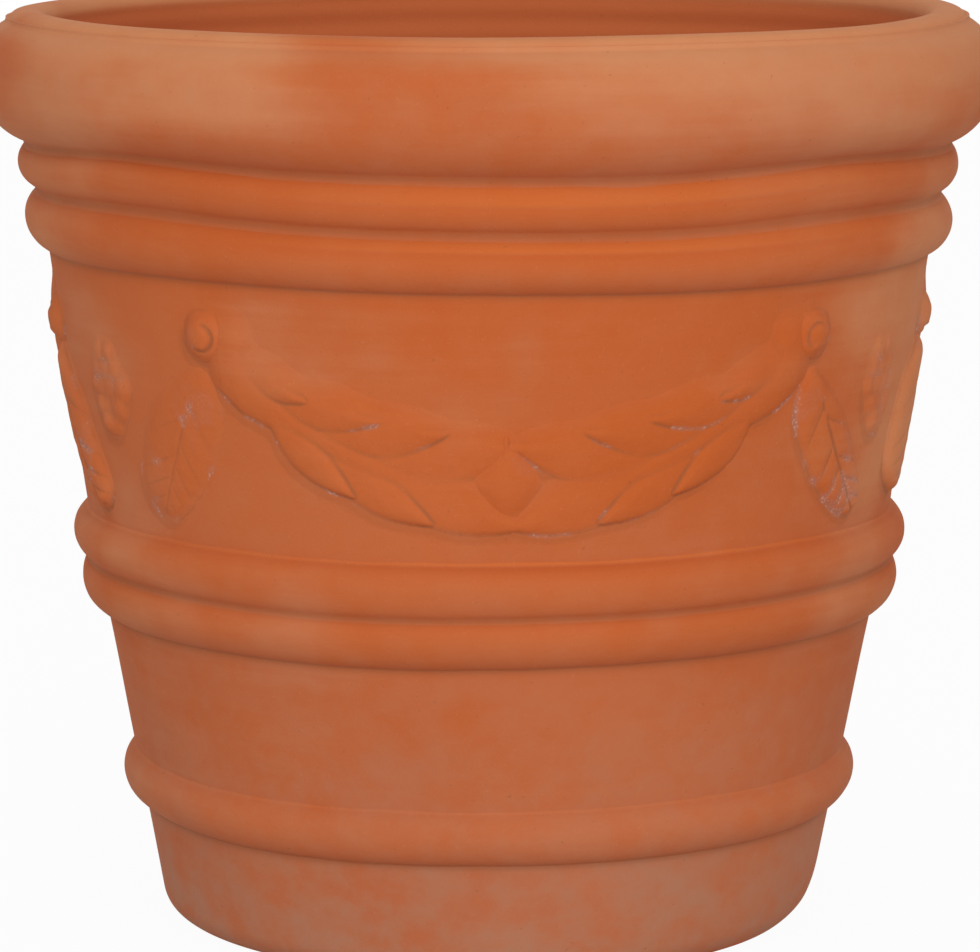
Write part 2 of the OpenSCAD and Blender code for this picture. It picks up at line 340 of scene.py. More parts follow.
def pressed_lumps(piece, width, height):
    """Makes a piece slightly lumpy, as soft clay is after handling."""
    lumps = bpy.data.textures.new(piece.name + "_lumps", "CLOUDS")
    lumps.noise_scale = width
    apply_modifier(piece, "DISPLACE", texture=lumps, texture_coords="GLOBAL", strength=height)


def hand_over(piece, finish, node):
    """Gives a finished piece its clay and its body, and hides the solid that it stands for."""
    settle(piece)
    deselect_all()
    piece.select_set(True)
    bpy.context.view_layer.objects.active = piece
    bpy.ops.object.shade_smooth_by_angle(angle=SMOOTH_ANGLE)
    piece.data.materials.append(finish)
    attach(piece, "root")
    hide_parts(node)


# Shader maths

class Field:
    """A value that changes over the clay: a socket of a material, with arithmetic on it."""

    def __init__(self, socket):
        self.socket = socket

    def node(self, kind, settings, inputs, output=0):
        """Adds a node, sets it up, gives its inputs values or links and returns an output."""
        tree = self.socket.id_data
        made = tree.nodes.new(kind)
        for name, setting in settings.items():
            setattr(made, name, setting)
        for name, value in inputs.items():
            if isinstance(value, Field):
                tree.links.new(value.socket, made.inputs[name])
            else:
                made.inputs[name].default_value = value
        return Field(made.outputs[output])

    def math(self, operation, first, second):
        return self.node("ShaderNodeMath", {"operation": operation}, {0: first, 1: second})

    def __add__(self, other):
        return self.math("ADD", self, other)

    def __radd__(self, other):
        return self.math("ADD", other, self)

    def __sub__(self, other):
        return self.math("SUBTRACT", self, other)

    def __rsub__(self, other):
        return self.math("SUBTRACT", other, self)

    def __mul__(self, other):
        return self.math("MULTIPLY", self, other)

    def __rmul__(self, other):
        return self.math("MULTIPLY", other, self)

    def above(self, low, high):
        """0 below low, 1 above high and a smooth rise between them."""
        settings = {"interpolation_type": "SMOOTHSTEP"}
        inputs = {"Value": self, "From Min": low, "From Max": high}
        return self.node("ShaderNodeMapRange", settings, inputs)

    def paint(self, under, over):
        """The colour under, painted over where this value is high."""
        inputs = {0: self, 6: under, 7: over}
        return self.node("ShaderNodeMix", {"data_type": "RGBA"}, inputs, output=2)

    def stretched(self, across, up):
        """A place, scaled level and upright."""
        inputs = {0: self, 1: (across, across, up)}
        return self.node("ShaderNodeVectorMath", {"operation": "MULTIPLY"}, inputs)

    def moved(self, x, y, z):
        """A place, shifted, so that one noise doesn't repeat another."""
        inputs = {0: self, 1: (x, y, z)}
        return self.node("ShaderNodeVectorMath", {"operation": "ADD"}, inputs)

    def length(self):
        return self.node("ShaderNodeVectorMath", {"operation": "LENGTH"}, {0: self}, output=1)

    def attribute(self, name):
        """A value that a piece carries on its points."""
        return self.node("ShaderNodeAttribute", {"attribute_name": name}, {}, output=2)

    def noise(self, detail, roughness=0.5):
        """Soft noise at this place, about one wave to the unit."""
        inputs = {"Vector": self, "Scale": 1.0, "Detail": detail, "Roughness": roughness}
        return self.node("ShaderNodeTexNoise", {}, inputs)


# Colours of the clay
CLAY_DEEP = (0.525, 0.106, 0.019, 1)
CLAY_MID = (0.550, 0.127, 0.032, 1)
CLAY_ROSE = (0.490, 0.145, 0.068, 1)
CLAY_DUST = (0.640, 0.260, 0.112, 1)
CLAY_VEIL = (0.440, 0.210, 0.128, 1)
CLAY_SLIP = (0.560, 0.310, 0.250, 1)
CLAY_LILAC = (0.430, 0.205, 0.160, 1)
# Dark specks of dirt, and painted shade in the creases
CLAY_DIRT_AND_SHADE = (0.250, 0.088, 0.036, 1)
# Painted tone inside the wall, standing in for the light there
CLAY_INSIDE_PAINTED_LIGHT = (0.590, 0.158, 0.052, 1)
# Painted highlight above the beads' scored lines
CLAY_PAINTED_HIGHLIGHT = (0.640, 0.150, 0.026, 1)

# Heights in metres between which one zone of the finish blends into the next
FRIEZE_LOW_BLEND = (0.20, 0.24)
FRIEZE_TOP_BLEND = (0.32, 0.35)
RIM_BLEND = (0.39, 0.43)
RIM_UPPER_BLEND = (0.415, 0.445)
LIP_EDGE_BLEND = (0.436, 0.447)
INSIDE_BLEND = (0.441, 0.449)

# Depths behind the wall's slope at which the outside's dust gives way to the inside
INSIDE_DEPTHS = (0.004, 0.009)


def fired_clay(place, aside, frieze, streak, mottle, patch):
    """Clouds of colour with rosy patches, deeper towards the right of the frieze."""
    cloud = place.stretched(7, 9).noise(3)
    turned = aside - 1.6 * (aside - 0.11).above(0, 0.08) * aside
    tone = 0.60 * cloud + 0.12 * streak + 0.28 * mottle - 0.9 * turned * frieze
    colour = tone.above(0.36, 0.64).paint(CLAY_DEEP, CLAY_MID)
    return (patch.above(0.52, 0.74) * 0.3).paint(colour, CLAY_ROSE)


def dust_zones(aside, height, edge, frieze, limb_dust):
    """Where more dust lies: on both sides of the rim, on the lip, at the limbs and right on the frieze."""
    rim = height.above(*RIM_BLEND)
    leftward = -1 * aside
    right = aside.above(-0.05, 0.10) * (0.35 + 0.65 * height.above(*RIM_UPPER_BLEND))
    left = leftward.above(0.06, 0.14) - 0.8 * leftward.above(0.19, 0.235)
    far_right = aside.above(0.15, 0.19)
    zone = rim * (0.38 * right + 0.36 * left + 0.12 * far_right + 0.05) + 0.14 * edge - 0.05
    zone += limb_dust * (1 - rim) * (aside * aside).above(0.015, 0.045)
    return zone + 0.26 * frieze * aside.above(0.13, 0.19)


def shade_dirt_and_slip(place, colour, mottle):
    """Dirt and painted shade in the creases, and slip that gathers there as a lilac film and as pale crumbs.
    """
    gathered = place.stretched(45, 45).noise(3).above(0.48, 0.64)
    slip = place.attribute("slip") * (0.15 + 0.85 * gathered)
    crumb = place.stretched(700, 700).moved(2, 9, 4).noise(2).above(0.54, 0.66)
    # Painted shade and dirt in the creases
    colour = (place.attribute("crease") * 0.6).paint(colour, CLAY_DIRT_AND_SHADE)
    colour = (slip.above(0.12, 0.80) * (0.1 + 0.5 * mottle)).paint(colour, CLAY_LILAC)
    return (slip.above(0.25, 0.70) * crumb * 0.7).paint(colour, CLAY_SLIP)


def terracotta(name, limb_dust=0):
    """Fired clay: clouds of colour, dust on rim and foot, specks, fine grain, slip and painted shade in the
    creases, painted light and shade about the beads' scored lines, and a painted tone inside.

    Limb dust is how much more dust lies towards the pot's left and right.
    """
    material = bpy.data.materials.new(name)
    material.use_nodes = True
    tree = material.node_tree
    surface = tree.nodes["Principled BSDF"]
    place = Field(tree.nodes.new("ShaderNodeTexCoord").outputs["Object"])
    aside = place.node("ShaderNodeSeparateXYZ", {}, {0: place}, output=0)
    height = place.node("ShaderNodeSeparateXYZ", {}, {0: place}, output=2)
    depth = BASE_R + (LIP_R - BASE_R) / POT_H * height - place.stretched(1, 0).length()
    outside = 1 - depth.above(*INSIDE_DEPTHS) * (1 - height.above(*INSIDE_BLEND))
    frieze = height.above(*FRIEZE_LOW_BLEND) * (1 - height.above(*FRIEZE_TOP_BLEND))
    edge = height.above(*LIP_EDGE_BLEND)

    patch = place.stretched(11, 16).moved(3.1, 7.7, 1.9).noise(2, 0.45)
    smudge = place.stretched(18, 24).moved(8.3, 2.2, 4.6).noise(4, 0.65).above(0.30, 0.70)
    streak = place.stretched(9, 150).noise(3, 0.6)
    mottle = place.stretched(60, 70).noise(4, 0.6)
    pit = place.stretched(420, 420).moved(5, 1, 8).noise(2).above(0.70, 0.80)
    grain = place.stretched(900, 900).noise(2)

    colour = fired_clay(place, aside, frieze, streak, mottle, patch)
    zone = dust_zones(aside, height, edge, frieze, limb_dust)
    dusty = (0.82 * patch + 0.18 * streak + zone).above(0.46, 0.90) * (0.45 + 0.4 * mottle)
    colour = ((dusty + 0.20 * edge) * outside).paint(colour, CLAY_DUST)
    veil = place.attribute("dust") * (0.42 + 0.4 * mottle.above(0.32, 0.68) + 0.55 * smudge)
    colour = (veil * outside).paint(colour, CLAY_VEIL)
    # Inside the wall: no dust, and a painted tone that stands in for the light there
    colour = (0.75 - 0.75 * outside).paint(colour, CLAY_INSIDE_PAINTED_LIGHT)
    # The rubbed mark: painted highlight above the beads' scored lines and painted shade below them
    rubbed = place.attribute("rubbed")
    colour = (0.5 * rubbed).paint(colour, CLAY_PAINTED_HIGHLIGHT)
    colour = (-0.6 * rubbed).paint(colour, CLAY_DEEP)
    colour = (grain.above(0.62, 0.80) * 0.25).paint(colour, CLAY_DUST)
    colour = (pit * 0.35).paint(colour, CLAY_DIRT_AND_SHADE)
    colour = shade_dirt_and_slip(place, colour, mottle)

    relief = 0.5 * grain + 0.25 * streak + 0.6 * mottle - 0.5 * pit
    bump = place.node("ShaderNodeBump", {}, {"Strength": 0.5, "Distance": 0.5 * MM, "Height": relief})
    tree.links.new(colour.socket, surface.inputs["Base Color"])
    tree.links.new((0.80 + 0.15 * mottle).socket, surface.inputs["Roughness"])
    tree.links.new(bump.socket, surface.inputs["Normal"])
    surface.inputs["Specular IOR Level"].default_value = 0.25
    return material


WALL_FINISH = terracotta("wall_terracotta", limb_dust=0.1)
COIL_FINISH = terracotta("coil_terracotta", limb_dust=0.22)
SPRIG_FINISH = terracotta("sprig_terracotta", limb_dust=0.1)
FLOOR_FINISH = terracotta("floor_terracotta")


# The floor slab and the four courses of the wall

def mark_creases(piece, node):
    """Marks where dirt with painted shade, and slip, lie on a turned piece: near the rings where coils meet
    what they lie on.
    """
    points = points_of(piece)
    radius = np.hypot(points[:, 0], points[:, 1])
    away = np.full(len(points), WALL_T)
    above = away.copy()
    for ring_r, ring_z in crease_rings():
        away = np.minimum(away, np.hypot(radius - ring_r, points[:, 2] - ring_z))
        above = np.minimum(above, np.hypot(radius - ring_r - SLIP_OUT, points[:, 2] - ring_z - SLIP_UP))
    low = points[:, 2].min()
    share = (points[:, 2] - low) / (points[:, 2].max() - low)
    dust_top, dust_low = DUST[node]
    carry(piece, "dust", dust_low + (dust_top - dust_low) * share)
    # Dirt and painted shade in the creases
    carry(piece, "crease", SHADE_AND_DIRT_MOST * bell(away, 0, SHADE_AND_DIRT_REACH))
    carry(piece, "slip", SLIP_MOST * bell(above, 0, SLIP_REACH))


def make_floor_slab():
    hole = (DRAIN_R + DRAIN_ROUND, FLOOR_T - DRAIN_ROUND)
    quarter = math.pi / 2
    outline = line((DRAIN_R, 0), (FLOOR_R - FLOOR_BEVEL, 0))
    outline += line((FLOOR_R - FLOOR_BEVEL, 0), (FLOOR_R, FLOOR_T))
    outline += line((FLOOR_R, FLOOR_T), (hole[0], FLOOR_T))
    outline += arc(hole, DRAIN_ROUND, quarter, 2 * quarter)
    hand_over(spun("floor_slab", outline), FLOOR_FINISH, "floor_slab")


def make_foot_course():
    lean = wall_lean(FOOT_Z / 2)
    edge_r = BASE_R - BASE_ROUND * (1 - math.sin(lean)) / math.cos(lean)
    edge = arc((edge_r, BASE_ROUND), BASE_ROUND, -math.pi / 2, -lean)
    outline = line((FLOOR_R - FLOOR_BEVEL, 0), edge[0]) + edge
    outline += line(edge[-1], (FOOT_R, FOOT_Z))[1:] + [(FOOT_R, FOOT_Z)]
    outline += inner_line(FOOT_Z + JOINT_BEVEL, FLOOR_T)
    course = spun("foot_course", outline)
    mark_creases(course, "foot_course")
    hand_over(course, WALL_FINISH, "foot_course")


def make_straight_course(name, z_low, z_top):
    """A ring of wall between two bevelled joints."""
    outer_low = (wall_radius(z_low), z_low)
    outer_top = (wall_radius(z_top), z_top)
    outline = line(outer_low, outer_top) + [outer_top]
    outline += inner_line(z_top + JOINT_BEVEL, z_low + JOINT_BEVEL)
    course = spun(name, outline)
    mark_creases(course, name)
    hand_over(course, WALL_FINISH, name)


def make_collar_course():
    """The top ring of wall, which ends in a broad rounded lip."""
    outer = wall_radius(LIP_Z) - LIP_SET_BACK
    half = (outer - inner_radius(LIP_Z)) / 2
    steps = math.ceil(math.pi / ARC_STEP)
    turns = [math.pi * i / steps for i in range(steps + 1)]
    level = [math.copysign(abs(math.cos(t)) ** LIP_SQUARE, math.cos(t)) for t in turns]
    lip = [(outer - half + half * s, LIP_Z + LIP_RISE * math.sin(t)) for s, t in zip(level, turns)]
    neck = (wall_radius(LIP_Z - LIP_RISE), LIP_Z - LIP_RISE)
    outline = line((COLLAR_R, COLLAR_Z), neck) + line(neck, lip[0]) + lip
    outline += inner_line(LIP_Z, COLLAR_Z + JOINT_BEVEL)[1:]
    course = spun("collar_course", outline)
    mark_creases(course, "collar_course")
    hand_over(course, WALL_FINISH, "collar_course")


# The rim roll and the bead coils

def cove_on_wall(coil, side):
    """A hollow that eases a coil into the wall, above it (side 1) or below it (side -1).

    Returns its points from the bottom to the top, and the angle at which it leaves the coil.
    """
    centre, radius = coil
    z_side = centre[1] + side * radius
    lean = wall_lean(z_side)
    up = (math.sin(lean), math.cos(lean))
    out = (math.cos(lean), -math.sin(lean))
    stand = COVE_R - COVE_SINK
    start = (wall_radius(z_side) + out[0] * stand, z_side + out[1] * stand)
    gap = (start[0] - centre[0], start[1] - centre[1])
    along = gap[0] * up[0] + gap[1] * up[1]
    away = gap[0] * out[0] + gap[1] * out[1]
    reach = side * math.sqrt((radius + COVE_R) ** 2 - away ** 2) - along
    middle = (start[0] + up[0] * reach, start[1] + up[1] * reach)
    wall_angle = math.pi - lean
    coil_angle = direction(middle, centre)
    ends = (wall_angle, coil_angle) if side == -1 else (coil_angle, wall_angle)
    return arc(middle, COVE_R, *ends), direction(centre, middle)


def cove_on_coil(coil, below):
    """A hollow that eases a coil into the coil below it, as cove_on_wall returns it."""
    centre, radius = coil
    under, under_radius = below
    span = math.dist(under, centre)
    under_side = under_radius - COVE_SINK + COIL_COVE_R
    side = radius + COIL_COVE_R
    along = (under_side ** 2 - side ** 2 + span ** 2) / (2 * span)
    out = math.sqrt(under_side ** 2 - along ** 2)
    way = ((centre[0] - under[0]) / span, (centre[1] - under[1]) / span)
    middle = (under[0] + way[0] * along + way[1] * out, under[1] + way[1] * along - way[0] * out)
    points = arc(middle, COIL_COVE_R, direction(middle, under), direction(middle, centre))
    return points, direction(centre, middle)


def coil_of(name):
    """Centre and radius of a bead coil's section."""
    z, radius, out = BEADS[name]
    return (wall_radius(z) + out - radius, z), radius


def crease_rings():
    """Radius and height of the middle of each hollow between a coil and what it lies on."""
    collar_upper = coil_of("collar_bead_upper")
    collar_lower = coil_of("collar_bead_lower")
    waist_upper = coil_of("waist_bead_upper")
    waist_lower = coil_of("waist_bead_lower")
    foot = coil_of("foot_bead")
    hollows = [
        cove_on_coil((RIM_LOW, RIM_LOW_R), collar_upper),
        cove_on_coil(collar_upper, collar_lower),
        cove_on_wall(collar_lower, -1),
        cove_on_coil(waist_upper, waist_lower),
        cove_on_wall(waist_lower, -1),
        cove_on_wall(foot, -1),
    ]
    return [points[len(points) // 2] for points, angle in hollows]


def rooted(outline):
    """The outline of a coil, closed behind by a root that lies in the wall."""
    root_low = (wall_radius(outline[0][1]) - COIL_ROOT, outline[0][1])
    root_top = (wall_radius(outline[-1][1]) - COIL_ROOT, outline[-1][1])
    return [root_low] + outline + [root_top]


def make_bead(name, below=None, above=None):
    """A bead coil eased into the wall, or into the coil below it, and covered by any coil above it."""
    coil = coil_of(name)
    centre, radius = coil
    low, low_angle = cove_on_coil(coil, coil_of(below)) if below else cove_on_wall(coil, -1)
    top, top_angle = ([], direction(centre, above)) if above else cove_on_wall(coil, 1)
    crown = arc(centre, radius, low_angle - FULL_TURN, top_angle)[1:]
    bead = spun(name, rooted(low + crown + top[1:]))
    pressed_lumps(bead, BEAD_LUMP_W, BEAD_LUMPS)
    mark_creases(bead, name)
    if name in SCORES:
        score(bead, *SCORES[name])
    hand_over(bead, COIL_FINISH, name)


def score(bead, height, depth):
    """Scores a fine line round the front of a bead, with a painted highlight above it and painted shade below
    it.
    """
    points = points_of(bead)
    angle = np.arctan2(points[:, 0], -points[:, 1])
    radius = np.hypot(points[:, 0], points[:, 1])
    front = bell(angle, SCORE_MIDDLE, SCORE_REACH)
    outer = radius > wall_radius(height)
    cut = depth * front * bell(points[:, 2], height, SCORE_SPAN) * outer
    over = (points[:, 2] - height) / SCORE_SPAN
    # The rubbed mark: painted highlight above the line and painted shade below it
    carry(bead, "rubbed", front * np.where(over > 0, np.clip(over, 0, 1), -bell(over, 0, SCORE_SHADE_SPAN)))
    points[:, :2] *= (1 - cut / radius)[:, None]
    move_points(bead, points)


def make_rim_roll():
    low, low_angle = cove_on_coil((RIM_LOW, RIM_LOW_R), coil_of("collar_bead_upper"))
    top, top_angle = cove_on_wall((RIM_TOP, RIM_TOP_R), 1)
    outline = low + arc(RIM_LOW, RIM_LOW_R, low_angle - FULL_TURN, 0)[1:]
    outline += arc(RIM_TOP, RIM_TOP_R, 0, top_angle) + top[1:]
    roll = spun("rim_roll", rooted(outline))
    mark_creases(roll, "rim_roll")
    hand_over(roll, COIL_FINISH, "rim_roll")


make_floor_slab()
make_foot_course()
make_straight_course("belly_course", FOOT_Z, WAIST_Z)
make_straight_course("frieze_course", WAIST_Z, COLLAR_Z)
make_collar_course()
make_rim_roll()
make_bead("collar_bead_upper", below="collar_bead_lower", above=RIM_LOW)
make_bead("collar_bead_lower", above=coil_of("collar_bead_upper")[0])
make_bead("waist_bead_upper", below="waist_bead_lower")
make_bead("waist_bead_lower", above=coil_of("waist_bead_upper")[0])
make_bead("foot_bead")


# The sprigs: sheets of clay raised into relief on the frieze

SHEET_STEP = 0.6 * MM
SHEET_T = 1.5 * MM
SUNK = 0.8 * MM
BURIED = -2 * SUNK
FEATHER = 0.4 * MM
FEATHER_SLOPE = 0.14
EDGE_FALL = 0.8
LEAST_HALF = 0.1 * MM
PRESS_LUMPS = 0.45 * MM
PRESS_LUMP_W = 6 * MM

# Painted shade, dirt and slip on the sprigs
CREASE_CURVE = 350
EDGE_H = 0.7 * MM
SIDE_EDGE = 0.25
SLIP_GAIN = 3.5
SLIP_RUBS = (2, 2, 1, 1)
SMEAR = 0.2
SMEAR_H = 0.1 * MM
SMEAR_SPAN = 0.25 * MM

# The thin skirt of clay along their lower and left edges, which carries a painted shadow with dirt, cast as
# if from above right: how it is drawn from them, in steps and heights
SKIRT_RUBS = (5, 4, 3, 2, 2, 1, 1)
SKIRT_DROP = 3
SKIRT_ASIDE = 2
SKIRT_H = 2 * MM
SKIRT_SINK = 0.15 * MM
SKIRT_LEAST = 0.02
SKIRT_TOP = 0.3 * MM
# Painted shadow with dirt on the skirt: how dark for each metre of its height, and its darkest
SKIRT_SHADOW_AND_DIRT = 1.0 / MM
SKIRT_SHADOW_DARKEST = 0.34

# Angles in degrees of the middles of the garlands and clusters, from the front to its right
BAY_ANGLES = {"front": 3.6, "right": 126.0, "left": 239.6}
CLUSTER_ANGLES = {"right": 63.0, "back": 182.8, "left": -59.5}
SIDES = {"left": -1, "right": 1}

# The sheets: angles from a middle and heights between which each kind of sprig is raised
BUD_SHEET = ((-6, 6), (222 * MM, 280 * MM))
BRANCH_SHEET = ((-2, 46), (212 * MM, 338 * MM))
ROSETTE_SHEET = ((36, 46), (286 * MM, 328 * MM))
DROP_SHEET = ((36, 62), (210 * MM, 300 * MM))
CLUSTER_SHEET = ((-9, 9), (240 * MM, 318 * MM))

# The garland: angles in degrees from its middle, on its stem's curve from rosette to rosette
SWAG_HALF = 42.0
SWAG_TOP_Z = 310 * MM
SWAG_LOW_Z = 240 * MM
LEAF_PAIRS = 4
LEAF_FIRST = 39.0
LEAF_STEP = 6.8
LEAF_GROWTH_STEP = 30
LEAF_L = 46 * MM
LEAF_L_GAIN = 19 * MM
LEAF_W = 19 * MM
LEAF_W_GAIN = 2.2 * MM
LEAF_H = 4.2 * MM
LEAF_H_LOSS = 0.2 * MM
LEAF_BLEND = 0.5 * MM
LAST_LEAF_MORE = 8 * MM
LAST_LEAF_TURN = 4.0
LAST_LEAF_BROAD = 1.6
UPPER_START = 3 * MM
UPPER_TURN = -24.0
UPPER_TURN_GAIN = 31.0
UPPER_WIDER = 1.15
UPPER_MORE = 6 * MM
UPPER_BROAD = 1.1
LOWER_START = -6 * MM
LOWER_TURN = -52.0
LOWER_TURN_STEP = 9.9
GARLAND_RUBS = (8, 8, 4, 4, 2, 2, 1, 1)

# The stem, which broadens towards its rosette, and the shoulder of clay beside the rosette
STEM_START = 8
STEM_START_SPAN = 10
STEM_END = 41.0
STEM_END_SPAN = 2.5
STEM_BROAD_FROM = 28
STEM_BROAD_SPAN = 8
STEM_SLIM = 0.45
STEM_H = 3.4 * MM
STEM_UP_W = 17 * MM
STEM_LOW_W = 13.5 * MM
SHOULDER_AT = 14 * MM
SHOULDER_W = 11 * MM
SHOULDER_H = 4.3 * MM
SHOULDER_SINK = 0.9 * MM
SHOULDER_BLEND = 2 * MM

# The bud and its spike
BUD_ASIDE = -1.2
BUD_L = 44 * MM
BUD_UP_L = 0.56 * BUD_L
BUD_LOW_L = 0.44 * BUD_L
BUD_W = 30 * MM
BUD_Z = SWAG_LOW_Z + 0.20 * BUD_L
BUD_H = 3.6 * MM
BUD_RUBS = (6, 4, 4, 2, 2, 1, 1)
BUD_HAZE = 0.3
SPIKE_ASIDE = -1 * MM
SPIKE_UP = 0.42 * BUD_L
SPIKE_W = 1.2 * MM
SPIKE_L = 0.1 * BUD_L
SPIKE_H = 1.2 * MM

# The rosettes, each with a crescent groove and a pip
ROSETTE_AT = 41.1
ROSETTE_R = 12 * MM
ROSETTE_H = 6.6 * MM
ROSETTE_LOW = 6 * MM
ROSETTE_RUBS = (5, 4, 4, 2, 2, 1, 1)
ROSETTE_HAZE = 0.3
GROOVE_TURN = {"left": 0.5, "right": -0.6}
GROOVE_DEPTH = {"left": 1.6 * MM, "right": 0.7 * MM}
GROOVE_R = 6.4 * MM
GROOVE_W = 1.2 * MM
PIP_ASIDE = 1.5 * MM
PIP_LOW = 5.5 * MM
PIP_R = 1.8 * MM
PIP_H = 0.8 * MM

# The hanging leaves, with shares of their length where the blade is full and where the veins start
DROP_AT = 42.6
DROP_START = 14 * MM
DROP_LEAN = 24.0
DROP_L = {"left": 82 * MM, "right": 90 * MM}
DROP_INNER = {"left": 23 * MM, "right": 19.5 * MM}
DROP_INNER_FULL = 0.34
DROP_OUTER = {"left": 25 * MM, "right": 15.5 * MM}
DROP_OUTER_FULL = 0.52
DROP_BEND = {"left": 0, "right": 11 * MM}
DROP_BEND_START = 0.23
DROP_SLANT = 4 * MM
DROP_H = 5.3 * MM
DROP_H_FRONT = {"left": 2.4 * MM, "right": 3.2 * MM}
DROP_RISE = 0.1
DROP_RUBS = (4, 4, 2, 2, 1, 1)
DROP_FADE = 0.15
DROP_HAZE = 0.35
DROP_SIDE_EDGE = 0.8
FAINT_RUBS = (8, 8, 4, 4, 2, 2, 1, 1)
FAINT_FADE = 0.75
FAINT_VEINS = 0.45
MIDRIB_W = 1.3 * MM
MIDRIB_FROM = 0.26
MIDRIB_FADE_IN = 0.12
VEIN_DEPTH = {"left": 0.4 * MM, "right": 1.0 * MM}
VEIN_LEAN = 0.9
VEIN_ASIDE = 0.08
VEIN_FROM = 0.24
VEIN_FADE_IN = 0.08
VEIN_FIRST = 0.34
VEIN_RANGE = 0.52
VEIN_COUNT = 3

# The berry clusters, with steps between berries in berry radii
CLUSTER_Z = 279 * MM
CLUSTER_H = 2.4 * MM
CLUSTER_W = 15 * MM
CLUSTER_L = 19 * MM
CLUSTER_SINK = 0.5 * MM
CLUSTER_HAZE = 0.35
CLUSTER_WEAR = {"right": 0.55, "back": 1.0, "left": 0.85}
BERRY_ROWS = (2, 3, 4, 3, 2)
BERRY_R = 4.8 * MM
BERRY_H = 3.4 * MM
BERRY_STEP = 1.9
BERRY_ROW_STEP = 1.7
BERRY_WANDER = 1.6 * MM
BERRY_ROW_WANDER = 1.4 * MM
BERRY_BLEND = 0.8 * MM
BERRY_RUBS = (4, 4, 3, 2, 2, 1, 1)


def degree_l(z):
    """Length along the wall of one degree, at a height."""
    return np.radians(wall_radius(z))


def smooth_max(a, b, soft):
    """The higher of two surfaces, rounded where they cross."""
    share = np.clip(0.5 + 0.5 * (a - b) / soft, 0, 1)
    return b + (a - b) * share + soft * share * (1 - share)


def softened(field, reach=1):
    """A field with each point eased towards the four points that lie a reach away."""
    framed = np.pad(field, reach, mode="edge")
    inside = slice(reach, -reach)
    around = framed[2 * reach:, inside] + framed[:-2 * reach, inside]
    around = around + framed[inside, 2 * reach:] + framed[inside, :-2 * reach]
    return 0.5 * field + 0.125 * around


def feathered(field, reaches):
    """A relief rubbed all over, with edges that run out softly on the wall."""
    rubbed = spread(np.maximum(field, -FEATHER), reaches)
    return np.where(rubbed > -0.7 * FEATHER, rubbed, BURIED)


def worn(field, reaches):
    """A relief whose upper edges are rubbed into the wall, and whose lower edges stay as pressed."""
    rubbed = spread(np.maximum(field, -FEATHER), reaches)
    falling = np.clip(-np.gradient(rubbed, axis=0) / SHEET_STEP / FEATHER_SLOPE, 0, 1)
    falling = spread(falling, reaches[len(reaches) // 2:])
    return field + (rubbed - field) * falling


def curving(field):
    """How sharply a relief hollows (above 0) or bulges (below 0) at each point."""
    framed = np.pad(field, 1, mode="edge")
    around = framed[2:, 1:-1] + framed[:-2, 1:-1] + framed[1:-1, 2:] + framed[1:-1, :-2]
    return (around - 4 * field) / SHEET_STEP ** 2


def spread(field, reaches):
    """A field softened again and again, over each of the reaches."""
    for reach in reaches:
        field = softened(field, reach)
    return field


def edged(beyond, crown):
    """A form with its crown inside its edge, which falls into the wall beyond it."""
    return np.where(beyond > 0, -EDGE_FALL * beyond, crown)


def marks_on(out, haze, side_edge):
    """Dirt and painted shade in the hollows of a relief, most where it faces down, and slip along its lower
    edges and, as haze, all over it.
    """
    slope = np.gradient(out, axis=0) / SHEET_STEP
    lower_edge = np.clip(side_edge + 1.5 * slope, 0, 1)
    facing_down = np.clip(0.5 + 4 * spread(slope, SLIP_RUBS), 0, 1)
    facing_down = np.maximum(facing_down, np.clip(out / EDGE_H - 0.5, 0, 1))
    # Painted shade with dirt in the hollows, strongest where the relief faces down
    crease = facing_down * np.clip(curving(np.maximum(out, 0)) / CREASE_CURVE, 0, 1)
    slip = crease * (0.2 + 0.8 * lower_edge) + SMEAR * bell(out, SMEAR_H, SMEAR_SPAN) * lower_edge
    slip = np.clip(SLIP_GAIN * spread(slip, SLIP_RUBS) + haze * np.clip(out / MM, 0, 1), 0, 1)
    return softened(crease), slip


def skirt_of(out):
    """Height of the thin skirt of clay along the lower and left edges of a relief, which also sets where its
    painted shadow lies.
    """
    raised = spread((out > 0).astype(float), SKIRT_RUBS)
    skirt = np.roll(raised, (-SKIRT_DROP, -SKIRT_ASIDE), axis=(0, 1)) - raised
    return np.where(skirt > SKIRT_LEAST, SKIRT_H * skirt - SKIRT_SINK, BURIED)


